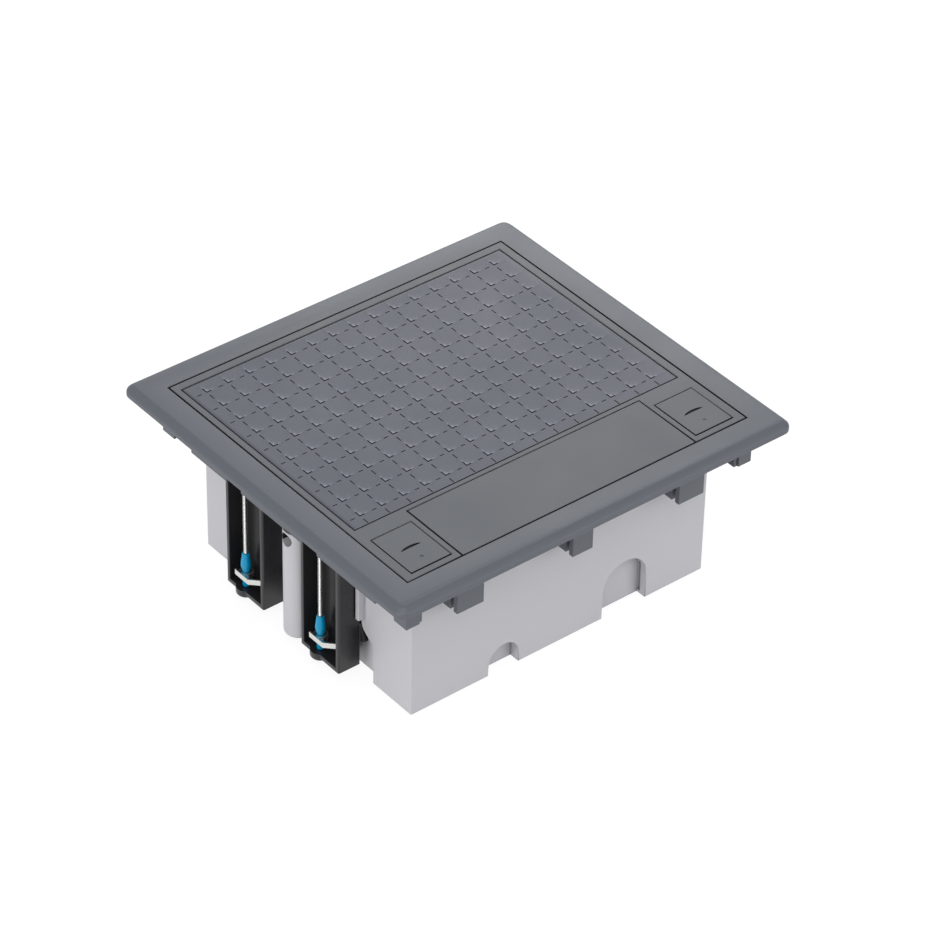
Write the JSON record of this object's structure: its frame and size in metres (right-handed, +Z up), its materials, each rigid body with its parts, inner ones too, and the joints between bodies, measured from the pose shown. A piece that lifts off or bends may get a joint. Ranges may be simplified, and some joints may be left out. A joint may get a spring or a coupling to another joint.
{
  "type": "floor socket box",
  "caption": "Rectangular floor socket box: flanged frame with a hinged, patterned lid and cable flap over a tub of socket modules, held by screw-driven claws.",
  "frame": {"origin": "centre of the base of the whole box", "axes": "+X right seen from the front, +Y from the front (cable flap and latches) to the rear hinge, +Z up"},
  "size_m": [0.232, 0.2138, 0.092],
  "materials": {
    "frame_grey": "satin",
    "insert_grey": "satin",
    "tub_grey": "matte",
    "claw_black": "satin",
    "carrier_blue": "gloss",
    "zinc": "bright zinc",
    "galvanised": "galvanised",
    "spring_steel": "plain",
    "carrier_grey": "satin",
    "module_white": "gloss"
  },
  "bodies": {
    "base": {"frame": "frame_grey", "tub": "tub_grey", "carrier_left": "carrier_grey", "socket_left_1": "module_white", "socket_left_2": "module_white", "data_module_left": "module_white", "carrier_middle": "carrier_grey", "socket_middle_1": "module_white", "socket_middle_2": "module_white", "carrier_right": "carrier_grey", "socket_right_1": "module_white", "socket_right_2": "module_white", "data_module_right": "module_white", "blank_module": "module_white", "divider_left": "tub_grey", "divider_right": "tub_grey", "claw_housing_left_1": "claw_black", "claw_housing_left_2": "claw_black", "claw_housing_right_1": "claw_black", "claw_housing_right_2": "claw_black", "lid_hinge_pins": "zinc", "frame_screws": "zinc", "frame_nuts": "zinc"},
    "lid": {"lid": "frame_grey", "stiffener": "galvanised", "lid_insert": "insert_grey", "latch_spring_left": "spring_steel", "latch_spring_right": "spring_steel"},
    "cable_flap": {"cable_flap": "frame_grey"},
    "latch_left": {"latch_left": "frame_grey"},
    "latch_right": {"latch_right": "frame_grey"},
    "claw_screw_left_1": {"claw_screw_left_1": "zinc"},
    "claw_carrier_left_1": {"claw_carrier_left_1": "carrier_blue"},
    "claw_plate_left_1": {"claw_plate_left_1": "zinc"},
    "claw_screw_left_2": {"claw_screw_left_2": "zinc"},
    "claw_carrier_left_2": {"claw_carrier_left_2": "carrier_blue"},
    "claw_plate_left_2": {"claw_plate_left_2": "zinc"},
    "claw_screw_right_1": {"claw_screw_right_1": "zinc"},
    "claw_carrier_right_1": {"claw_carrier_right_1": "carrier_blue"},
    "claw_plate_right_1": {"claw_plate_right_1": "zinc"},
    "claw_screw_right_2": {"claw_screw_right_2": "zinc"},
    "claw_carrier_right_2": {"claw_carrier_right_2": "carrier_blue"},
    "claw_plate_right_2": {"claw_plate_right_2": "zinc"}
  },
  "joints": [
    {"name": "lid_hinge", "type": "hinge", "parent": "base", "child": "lid", "pos_m": [0, 0.0859, 0.0901], "axis": [-1, 0, 0], "range_deg": [0, 110]},
    {"name": "flap_hinge", "type": "hinge", "parent": "lid", "child": "cable_flap", "pos_m": [0, -0.0546, 0.09055], "axis": [-1, 0, 0], "range_deg": [0, 100]},
    {"name": "latch_left_rock", "type": "hinge", "parent": "lid", "child": "latch_left", "pos_m": [-0.08365, -0.0779, 0.0903], "axis": [1, 0, 0], "range_deg": [0, 20], "stiffness_Nm_per_rad": 0.01, "springref_deg": -5.73, "deforming": ["latch_spring_left"]},
    {"name": "latch_right_rock", "type": "hinge", "parent": "lid", "child": "latch_right", "pos_m": [0.08365, -0.0779, 0.0903], "axis": [1, 0, 0], "range_deg": [0, 20], "stiffness_Nm_per_rad": 0.01, "springref_deg": -5.73, "deforming": ["latch_spring_right"]},
    {"name": "claw_lift_left_1", "type": "slide", "parent": "base", "child": "claw_carrier_left_1", "axis": [0, 0, 1], "range_m": [0, 0.044]},
    {"name": "claw_turn_left_1", "type": "hinge", "parent": "base", "child": "claw_screw_left_1", "pos_m": [-0.0979, 0.03463, 0.0815], "axis": [0, 0, 1], "range_deg": [-10570, 10]},
    {"name": "claw_swing_left_1", "type": "hinge", "parent": "claw_carrier_left_1", "child": "claw_plate_left_1", "pos_m": [-0.0979, 0.03463, 0.0141], "axis": [0, 0, -1], "range_deg": [0, 90]},
    {"name": "claw_lift_left_2", "type": "slide", "parent": "base", "child": "claw_carrier_left_2", "axis": [0, 0, 1], "range_m": [0, 0.044]},
    {"name": "claw_turn_left_2", "type": "hinge", "parent": "base", "child": "claw_screw_left_2", "pos_m": [-0.0979, -0.02363, 0.0815], "axis": [0, 0, 1], "range_deg": [-10570, 10]},
    {"name": "claw_swing_left_2", "type": "hinge", "parent": "claw_carrier_left_2", "child": "claw_plate_left_2", "pos_m": [-0.0979, -0.02363, 0.0141], "axis": [0, 0, -1], "range_deg": [0, 90]},
    {"name": "claw_lift_right_1", "type": "slide", "parent": "base", "child": "claw_carrier_right_1", "axis": [0, 0, 1], "range_m": [0, 0.044]},
    {"name": "claw_turn_right_1", "type": "hinge", "parent": "base", "child": "claw_screw_right_1", "pos_m": [0.0979, -0.03463, 0.0815], "axis": [0, 0, 1], "range_deg": [-10570, 10]},
    {"name": "claw_swing_right_1", "type": "hinge", "parent": "claw_carrier_right_1", "child": "claw_plate_right_1", "pos_m": [0.0979, -0.03463, 0.0141], "axis": [0, 0, -1], "range_deg": [0, 90]},
    {"name": "claw_lift_right_2", "type": "slide", "parent": "base", "child": "claw_carrier_right_2", "axis": [0, 0, 1], "range_m": [0, 0.044]},
    {"name": "claw_turn_right_2", "type": "hinge", "parent": "base", "child": "claw_screw_right_2", "pos_m": [0.0979, 0.02363, 0.0815], "axis": [0, 0, 1], "range_deg": [-10570, 10]},
    {"name": "claw_swing_right_2", "type": "hinge", "parent": "claw_carrier_right_2", "child": "claw_plate_right_2", "pos_m": [0.0979, 0.02363, 0.0141], "axis": [0, 0, -1], "range_deg": [0, 90]}
  ],
  "couplings": [
    {"joint": "claw_turn_left_1", "follows": "claw_lift_left_1", "rad_per_m": -4188.8},
    {"joint": "claw_turn_left_2", "follows": "claw_lift_left_2", "rad_per_m": -4188.8},
    {"joint": "claw_turn_right_1", "follows": "claw_lift_right_1", "rad_per_m": -4188.8},
    {"joint": "claw_turn_right_2", "follows": "claw_lift_right_2", "rad_per_m": -4188.8}
  ]
}
